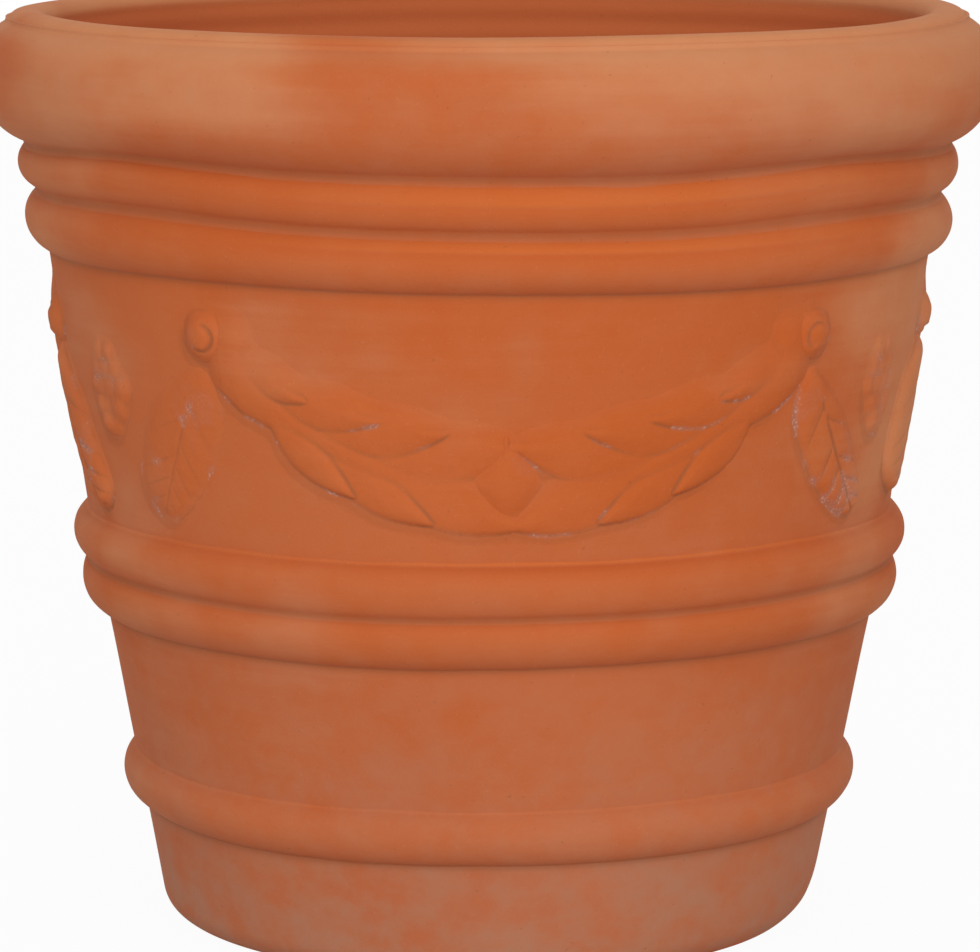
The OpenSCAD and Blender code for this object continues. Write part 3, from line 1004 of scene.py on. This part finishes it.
def raised_sprig(name, angles, heights, relief, haze, side_edge):
    """Raises a sheet into relief between two angles and two heights, trims it and gives it a back.

    The relief is a function of angle and height that returns the distance out of the wall. Haze is how
    much slip is left all over it, and side edge how much along the edges at its sides.
    """
    columns = round((angles[1] - angles[0]) * degree_l(heights[1]) / SHEET_STEP)
    rows = round((heights[1] - heights[0]) / SHEET_STEP)
    deselect_all()
    bpy.ops.mesh.primitive_grid_add(x_subdivisions=columns, y_subdivisions=rows, size=2)
    sheet = bpy.context.object
    sheet.name = name
    flat = points_of(sheet)
    order = np.lexsort((flat[:, 0], flat[:, 1]))
    angle, z = np.meshgrid(np.linspace(*angles, columns + 1), np.linspace(*heights, rows + 1))
    out = softened(softened(relief(angle, z)))
    crease, slip = marks_on(out, haze, side_edge)
    skirt = skirt_of(out)
    # Painted shadow with dirt on the skirt, below and left of the relief, joins the crease shade
    crease = np.maximum(crease, np.clip(SKIRT_SHADOW_AND_DIRT * skirt, 0, SKIRT_SHADOW_DARKEST))
    out = np.maximum(out, np.minimum(skirt, SKIRT_TOP))
    dust_top, dust_low = DUST["frieze_course"]
    dust = np.interp(z, (WAIST_Z, COLLAR_Z), (dust_low, dust_top)) * np.clip(1 - out / MM, 0, 1)
    reach = wall_radius(z) + out * math.cos(FRIEZE_SLOPE)
    turn = np.radians(angle)
    place = (reach * np.sin(turn), -reach * np.cos(turn), z - out * math.sin(FRIEZE_SLOPE))
    flat[order] = np.stack(place, axis=-1).reshape(-1, 3)
    move_points(sheet, flat)

    on_points = np.empty(len(flat))
    for mark, field in (("crease", crease), ("slip", slip), ("dust", dust)):
        on_points[order] = field.ravel()
        carry(sheet, mark, on_points)
    on_points[order] = out.ravel()
    trim(sheet, on_points < -SUNK)
    apply_modifier(sheet, "SOLIDIFY", thickness=SHEET_T, offset=-1)
    pressed_lumps(sheet, PRESS_LUMP_W, PRESS_LUMPS)
    hand_over(sheet, SPRIG_FINISH, name)


def trim(sheet, hidden):
    """Cuts away the faces of a sheet whose corners are all hidden in the wall."""
    corners = np.empty(4 * len(sheet.data.polygons), dtype=np.int32)
    sheet.data.polygons.foreach_get("vertices", corners)
    waste = hidden[corners.reshape(-1, 4)].all(axis=1)
    bpy.ops.object.mode_set(mode="EDIT")
    bpy.ops.mesh.select_mode(type="FACE")
    bpy.ops.mesh.select_all(action="DESELECT")
    bpy.ops.object.mode_set(mode="OBJECT")
    sheet.data.polygons.foreach_set("select", waste)
    bpy.ops.object.mode_set(mode="EDIT")
    bpy.ops.mesh.delete(type="FACE")
    bpy.ops.object.mode_set(mode="OBJECT")


def leaf(along, across, length, width, height, broad):
    """A leaf's surface. Along runs from its base to its tip, and across to its upper edge.

    It rises from its base to its tip, so that it lies over the next leaf. Broad is how much wider
    its upper half is than its lower half.
    """
    share = np.clip(along / length, 0, 1)
    half = width / 2 * np.sin(math.pi * share ** 0.9) ** 0.8
    half = np.where(across > 0, half * broad, half)
    past_end = np.maximum(np.maximum(-along, along - length), 0)
    beyond = np.hypot(past_end, np.maximum(np.abs(across) - half, 0))
    side = np.clip(np.abs(across) / np.maximum(half, LEAST_HALF), 0, 1)
    crown = (1 - side ** 2) ** np.where(across > 0, 0.4 + 0.8 * broad, 0.7)
    ridge = (0.3 + 0.7 * share) * (1 - share ** 14) ** 0.7
    return edged(beyond, height * ridge * crown)


def leaf_frame(angle, z, base_angle, base_z, turn):
    """Places along and across a leaf that grows from a base, turned up from level in degrees.

    Angles are counted towards the rosette, and the leaf grows towards the garland's middle.
    """
    level = (base_angle - angle) * degree_l(z)
    up = (z - base_z) / math.cos(FRIEZE_SLOPE)
    c = math.cos(math.radians(turn))
    s = math.sin(math.radians(turn))
    return level * c + up * s, up * c - level * s


def stem_z(angle):
    """Height of the stem's middle line."""
    return SWAG_LOW_Z + (SWAG_TOP_Z - SWAG_LOW_Z) * (angle / SWAG_HALF) ** 2


def stem_fall(angle):
    """Fall of the stem from level, in degrees."""
    rise = 2 * (SWAG_TOP_Z - SWAG_LOW_Z) * angle / SWAG_HALF ** 2
    return np.degrees(np.arctan(rise / degree_l(stem_z(angle))))


def stem_relief(angle, z):
    """The stem, with the shoulder of clay between it and its rosette."""
    off = (z - stem_z(angle)) * np.cos(np.radians(stem_fall(angle)))
    broad = STEM_SLIM + (1 - STEM_SLIM) * np.clip((angle - STEM_BROAD_FROM) / STEM_BROAD_SPAN, 0, 1)
    half = np.where(off > 0, STEM_UP_W, STEM_LOW_W) * broad
    side = np.clip(np.abs(off) / half, 0, 1)
    end = np.clip((STEM_END - angle) / STEM_END_SPAN, 0, 1) ** 0.6
    end = end * np.clip((angle - STEM_START) / STEM_START_SPAN, 0, 1)
    stem = STEM_H * broad * end * (1 - side ** 2) ** np.where(off > 0, 1.2, 0.6)
    past_end = np.maximum(np.maximum(STEM_START - angle, angle - STEM_END), 0) * degree_l(z)
    beyond = np.hypot(past_end, np.maximum(np.abs(off) - half, 0))
    from_rosette = (ROSETTE_AT - angle) * degree_l(z)
    shoulder = SHOULDER_H * bell(from_rosette, SHOULDER_AT, SHOULDER_W) * bell(z, SWAG_TOP_Z, SHOULDER_W)
    return smooth_max(edged(beyond, stem), shoulder - SHOULDER_SINK, SHOULDER_BLEND)


def branch_relief(angle, z):
    """The stem, four upper leaves and three lower leaves on one side of a garland."""
    surface = stem_relief(angle, z)
    lower_leaves = []
    for i in range(LEAF_PAIRS):
        at = LEAF_FIRST - i * LEAF_STEP
        last = i == LEAF_PAIRS - 1
        growth = math.sin(math.radians(LEAF_GROWTH_STEP * i))
        length = LEAF_L + LEAF_L_GAIN * growth + (LAST_LEAF_MORE if last else 0)
        width = LEAF_W + LEAF_W_GAIN * i
        height = LEAF_H - LEAF_H_LOSS * i * i
        upper = leaf_frame(angle, z, at, stem_z(at) + UPPER_START, UPPER_TURN + UPPER_TURN_GAIN * growth)
        upper_l = length + UPPER_MORE * (1 - growth)
        upper_leaf = leaf(*upper, upper_l, UPPER_WIDER * width, height, UPPER_BROAD)
        surface = smooth_max(surface, upper_leaf, LEAF_BLEND)
        if i > 0:
            turn = LOWER_TURN + LOWER_TURN_STEP * i + (LAST_LEAF_TURN if last else 0)
            lower = leaf_frame(angle, z, at, stem_z(at) + LOWER_START, turn)
            lower_leaves.append(leaf(*lower, length, width, height, LAST_LEAF_BROAD if last else 1))
    surface = worn(surface, GARLAND_RUBS)
    surface = smooth_max(surface, worn(lower_leaves.pop(), GARLAND_RUBS), LEAF_BLEND)
    for lower_leaf in reversed(lower_leaves):
        surface = smooth_max(surface, lower_leaf, LEAF_BLEND)
    return surface


def bud_relief(angle, z):
    """A soft spade-shaped bud, its upper end drawn out to a thin spike."""
    across = angle * degree_l(z)
    up = z - BUD_Z
    share = np.clip(np.where(up > 0, up / BUD_UP_L, -up / BUD_LOW_L), 0, 1)
    half = BUD_W / 2 * np.where(up > 0, (1 - share) ** 1.5, (1 - share ** 1.4) ** 0.8)
    beyond = np.hypot(np.maximum(-up - BUD_LOW_L, 0), np.maximum(np.abs(across) - half, 0))
    beyond = np.maximum(beyond, up - BUD_UP_L)
    side = np.clip(np.abs(across) / np.maximum(half, LEAST_HALF), 0, 1)
    crown = BUD_H * (1 - side ** 2) ** 0.6 * (1 - share ** 2) ** 0.6
    spike = SPIKE_H * bell(across, SPIKE_ASIDE, SPIKE_W) * bell(up, SPIKE_UP, SPIKE_L)
    return feathered(edged(beyond, crown), BUD_RUBS) + spike


def rosette_relief(angle, z, side, low):
    """A round boss with a crescent groove on the side of its garland and a small pip below."""
    across = (ROSETTE_AT - angle) * degree_l(z)
    up = (z - SWAG_TOP_Z + low) / math.cos(FRIEZE_SLOPE)
    radius = np.hypot(across, up)
    dome = ROSETTE_H * np.clip(1 - (radius / ROSETTE_R) ** 2, 0, 1) ** 0.6
    boss = feathered(edged(radius - ROSETTE_R, dome), ROSETTE_RUBS)
    facing = np.clip(0.45 + 0.75 * np.cos(np.arctan2(up, across) + GROOVE_TURN[side]), 0, 1)
    boss -= GROOVE_DEPTH[side] * facing * bell(radius, GROOVE_R, GROOVE_W)
    return boss + PIP_H * bell(np.hypot(across - PIP_ASIDE, up + PIP_LOW), 0, PIP_R)


def drop_veins(along, across, length):
    """The midrib and the side veins of a hanging leaf, 1 along their middle lines."""
    start = (along - VEIN_LEAN * np.abs(across)) / length + np.where(across > 0, VEIN_ASIDE, 0)
    order = (start - VEIN_FIRST) / VEIN_RANGE
    vein = 1 + VEIN_COUNT * np.sign(order) * np.abs(order) ** 1.5
    side_veins = 1 - np.abs(np.sin(math.pi * vein)) ** 0.4
    side_veins = side_veins * np.clip((start - VEIN_FROM) / VEIN_FADE_IN, 0, 1)
    share = np.clip(along / length, 0, 1)
    midrib = bell(across, 0, MIDRIB_W) * np.clip((share - MIDRIB_FROM) / MIDRIB_FADE_IN, 0, 1)
    return np.maximum(side_veins, midrib)


def drop_relief(angle, z, height, side, rubs, fade):
    """A broad hanging leaf with a blunt end, its midrib and side veins pressed in as grooves."""
    along, across = leaf_frame(angle, z, DROP_AT, SWAG_TOP_Z - DROP_START, -90 - DROP_LEAN)
    length = DROP_L[side]
    share = np.clip(along / length, 0, 1)
    across = across - DROP_BEND[side] * (DROP_BEND_START - share ** 2.2)
    slant = np.clip((along + np.maximum(across - DROP_SLANT, 0)) / length, 0, 1)
    end = np.where(across > 0, 1 - slant ** 8, 1 - share ** 16) ** 0.5
    inner = DROP_INNER[side] * np.sin(0.5 * math.pi * np.clip(share / DROP_INNER_FULL, 0, 1)) ** 0.6
    outer = DROP_OUTER[side] * np.sin(0.5 * math.pi * np.clip(share / DROP_OUTER_FULL, 0, 1)) ** 1.2
    half = np.where(across > 0, inner, outer) * end
    past_end = np.maximum(np.maximum(-along, along - length), 0)
    beyond = np.hypot(past_end, np.maximum(np.abs(across) - half, 0))
    aside = np.clip(np.abs(across) / np.maximum(half, LEAST_HALF), 0, 1)
    blade = height * (1 - aside ** 3) ** 0.6 * np.clip(share / DROP_RISE, 0, 1) ** 0.5
    blade = blade * (1 - fade * np.clip(across / DROP_INNER[side], 0, 1))
    blade = feathered(edged(beyond, blade), rubs)
    grooves = VEIN_DEPTH[side] * (1 - FAINT_VEINS * fade) * drop_veins(along, across, length)
    return blade - grooves * (1 - aside ** 3) * (blade > 0)


def cluster_relief(angle, z, wear):
    """Uneven, worn berries in rows on a low mound, the rows narrowing to the bottom."""
    across = angle * degree_l(z)
    up = (z - CLUSTER_Z) / math.cos(FRIEZE_SLOPE)
    surface = CLUSTER_H * bell(up, 0, CLUSTER_L) * bell(across, 0, CLUSTER_W) - CLUSTER_SINK
    for i, berries in enumerate(BERRY_ROWS):
        for j in range(berries):
            wander = math.sin(12.9 * i + 78.2 * j)
            x = (j - (berries - 1) / 2) * BERRY_STEP * BERRY_R + BERRY_WANDER * wander
            row_z = ((len(BERRY_ROWS) - 1) / 2 - i) * BERRY_ROW_STEP * BERRY_R
            y = row_z + BERRY_ROW_WANDER * math.cos(7.1 * i + 31.4 * j)
            radius = BERRY_R * (1.1 + 0.25 * math.sin(5.3 * i + 17.7 * j))
            near = np.hypot(across - x, up - y) / radius
            top = BERRY_H * (1 + 0.45 * wander)
            berry = edged(radius * (near - 1), top * np.sqrt(np.abs(1 - near ** 2)))
            surface = smooth_max(surface, berry, BERRY_BLEND)
    return feathered(np.where(surface > 0, wear * surface, surface), BERRY_RUBS)


def make_sprig(name, relief, middle, sign, sheet, haze=0, side_edge=SIDE_EDGE):
    """A sprig from a relief whose angles are counted from a middle, to the right or, sign -1, to the left."""
    span, heights = sheet
    angles = sorted(middle + sign * turn for turn in span)
    raised_sprig(name, angles, heights, lambda angle, z: relief(sign * (angle - middle), z), haze, side_edge)


def make_bay(bay, middle):
    """The sprigs of one garland, about its middle."""
    front = bay == "front"
    make_sprig(bay + "_garland_bud", bud_relief, middle + BUD_ASIDE, 1, BUD_SHEET, BUD_HAZE)
    for side, sign in SIDES.items():
        make_sprig(f"{bay}_garland_branch_{side}", branch_relief, middle, sign, BRANCH_SHEET)
        rosette = partial(rosette_relief, side=side, low=0 if front else ROSETTE_LOW)
        make_sprig(f"{bay}_rosette_{side}", rosette, middle, sign, ROSETTE_SHEET, ROSETTE_HAZE)
        height = DROP_H_FRONT[side] if front else DROP_H
        rubs, fade = (FAINT_RUBS, FAINT_FADE) if front and side == "left" else (DROP_RUBS, DROP_FADE)
        drop_leaf = partial(drop_relief, height=height, side=side, rubs=rubs, fade=fade)
        make_sprig(f"{bay}_drop_leaf_{side}", drop_leaf, middle, sign, DROP_SHEET, DROP_HAZE, DROP_SIDE_EDGE)


for bay_name, bay_middle in BAY_ANGLES.items():
    make_bay(bay_name, bay_middle)
for cluster_name, cluster_middle in CLUSTER_ANGLES.items():
    cluster = partial(cluster_relief, wear=CLUSTER_WEAR[cluster_name])
    make_sprig(cluster_name + "_berry_cluster", cluster, cluster_middle, 1, CLUSTER_SHEET, CLUSTER_HAZE)


# The stage: a pale floor, a white surround, soft light from above the front, and the camera

CAMERA_AIM_Z = 218.6 * MM
CAMERA_DISTANCE = 2.462
CAMERA_PITCH = math.radians(8.85)
CAMERA_LENS = 180.7
PHOTO_WIDTH_PX = 980
AXIS_OFFSET_PX = 1.5
GROUND_SIZE = 12
GROUND_COLOUR = (0.70, 0.70, 0.70, 1)
GROUND_GLOW = 0.955
SURROUND_LIGHT = 0.6
SOFT_BOX_PLACE = (0.15, -2.9, 1.3)
SOFT_BOX_SIZE = 2.4
SOFT_BOX_POWER = 44.5


def seen_directly(tree):
    """1 where the camera, a reflection or a clear surface looks straight at the stage."""
    rays = tree.nodes.new("ShaderNodeLightPath").outputs
    seen = Field(rays["Is Camera Ray"])
    for ray in ("Is Glossy Ray", "Is Transmission Ray"):
        seen = seen.math("MAXIMUM", seen, Field(rays[ray]))
    return seen


def make_stage():
    """A pale ground and a white surround that light the pot less than they show."""
    deselect_all()
    bpy.ops.mesh.primitive_plane_add(size=GROUND_SIZE)
    ground = bpy.context.object
    ground.name = "ground"
    paper = bpy.data.materials.new("pale_ground")
    paper.use_nodes = True
    tree = paper.node_tree
    surface = tree.nodes["Principled BSDF"]
    surface.inputs["Base Color"].default_value = GROUND_COLOUR
    surface.inputs["Roughness"].default_value = 0.9
    glow = tree.nodes.new("ShaderNodeEmission")
    mix = tree.nodes.new("ShaderNodeMixShader")
    tree.links.new((GROUND_GLOW * seen_directly(tree)).socket, mix.inputs["Fac"])
    tree.links.new(surface.outputs["BSDF"], mix.inputs[1])
    tree.links.new(glow.outputs["Emission"], mix.inputs[2])
    tree.links.new(mix.outputs["Shader"], tree.nodes["Material Output"].inputs["Surface"])
    ground.data.materials.append(paper)

    world = bpy.data.worlds.new("studio")
    bpy.context.scene.world = world
    world.use_nodes = True
    tree = world.node_tree
    strength = SURROUND_LIGHT + (1 - SURROUND_LIGHT) * seen_directly(tree)
    tree.links.new(strength.socket, tree.nodes["Background"].inputs["Strength"])
    tree.nodes["Background"].inputs["Color"].default_value = (1, 1, 1, 1)


def make_lamp(name, place, size, power):
    """A square soft box that faces the middle of the pot."""
    box = bpy.data.lights.new(name, "AREA")
    box.size = size
    box.energy = power
    lamp = bpy.data.objects.new(name, box)
    bpy.context.collection.objects.link(lamp)
    lamp.location = place
    level = math.hypot(place[0], place[1])
    tilt = math.atan2(level, place[2] - CAMERA_AIM_Z)
    lamp.rotation_euler = (tilt, 0, math.atan2(-place[0], place[1]) + math.pi)


def make_camera():
    lens = bpy.data.cameras.new("camera")
    lens.lens = CAMERA_LENS
    lens.shift_x = AXIS_OFFSET_PX / PHOTO_WIDTH_PX
    camera = bpy.data.objects.new("camera", lens)
    bpy.context.collection.objects.link(camera)
    back = CAMERA_DISTANCE * math.cos(CAMERA_PITCH)
    up = CAMERA_DISTANCE * math.sin(CAMERA_PITCH)
    camera.location = (0, -back, CAMERA_AIM_Z + up)
    camera.rotation_euler = (math.pi / 2 - CAMERA_PITCH, 0, 0)
    bpy.context.scene.camera = camera


make_stage()
make_lamp("front_soft_box", SOFT_BOX_PLACE, SOFT_BOX_SIZE, SOFT_BOX_POWER)
make_camera()
bpy.context.scene.view_settings.view_transform = "Standard"
